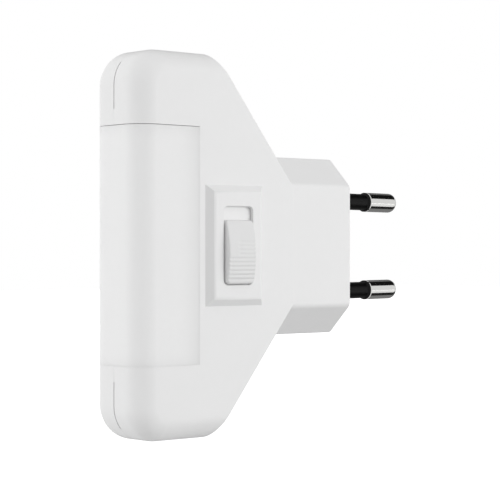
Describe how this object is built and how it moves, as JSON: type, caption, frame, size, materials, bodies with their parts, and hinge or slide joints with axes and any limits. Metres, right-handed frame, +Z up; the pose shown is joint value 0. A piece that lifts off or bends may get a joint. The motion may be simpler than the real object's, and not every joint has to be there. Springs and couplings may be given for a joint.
{
  "type": "plug-in night light",
  "caption": "Slim night light that plugs into a two-pin wall socket, with a frosted front diffuser and a slide switch on its side.",
  "frame": {"origin": "centre of the plug's flat end face, midway between the pins", "axes": "+Y out of the plug along the pins, into the socket; -Y is the lit front; +Z up, from the lower pin to the upper; +X to the side with the switch"},
  "size_m": [0.0175, 0.0737, 0.0732],
  "materials": {
    "housing_plastic": "moulded white ABS, fine satin",
    "diffuser_plastic": "frosted white polycarbonate",
    "knob_plastic": "moulded white ABS, satin, ribbed",
    "pin_metal": "polished nickel plate",
    "sleeve_plastic": "black moulded sleeve",
    "contact_metal": "bright stamped strip",
    "spring_steel": "drawn spring wire",
    "frame_plastic": "dark grey moulding",
    "board_laminate": "green solder mask",
    "led_board_laminate": "white solder mask",
    "film_case": "moulded box, yellow",
    "bleed_coat": "beige lacquer",
    "fuse_coat": "blue flameproof lacquer",
    "rectifier_case": "black epoxy",
    "can_sleeve": "dark blue shrink sleeve over the can",
    "tray_plastic": "white reflector moulding",
    "led_case": "white case with phosphor",
    "wire_brown": "brown insulation",
    "wire_blue": "blue insulation"
  },
  "bodies": {
    "housing": {"left_shell": "housing_plastic", "right_shell": "housing_plastic", "diffuser": "diffuser_plastic", "switch_frame": "frame_plastic", "terminal_supply": "contact_metal", "terminal_load": "contact_metal", "pin_upper": "pin_metal", "pin_lower": "pin_metal", "sleeve_upper": "sleeve_plastic", "sleeve_lower": "sleeve_plastic", "driver_board": "board_laminate", "film_capacitor": "film_case", "bleed_resistor": "bleed_coat", "fuse_resistor": "fuse_coat", "bridge_rectifier": "rectifier_case", "smoothing_capacitor": "can_sleeve", "reflector_tray": "tray_plastic", "led_board": "led_board_laminate", "led_1": "led_case", "led_2": "led_case", "led_3": "led_case", "link_pin_upper": "contact_metal", "link_pin_lower": "contact_metal", "supply_wire_upper": "wire_brown", "supply_wire_lower": "wire_blue"},
    "slider": {"switch_knob": "knob_plastic", "contact_bridge": "contact_metal", "contact_spring": "spring_steel"}
  },
  "joints": [
    {"name": "switch_slide", "type": "slide", "parent": "housing", "child": "slider", "axis": [0, 0, 1], "range_m": [0, 0.0024]}
  ]
}
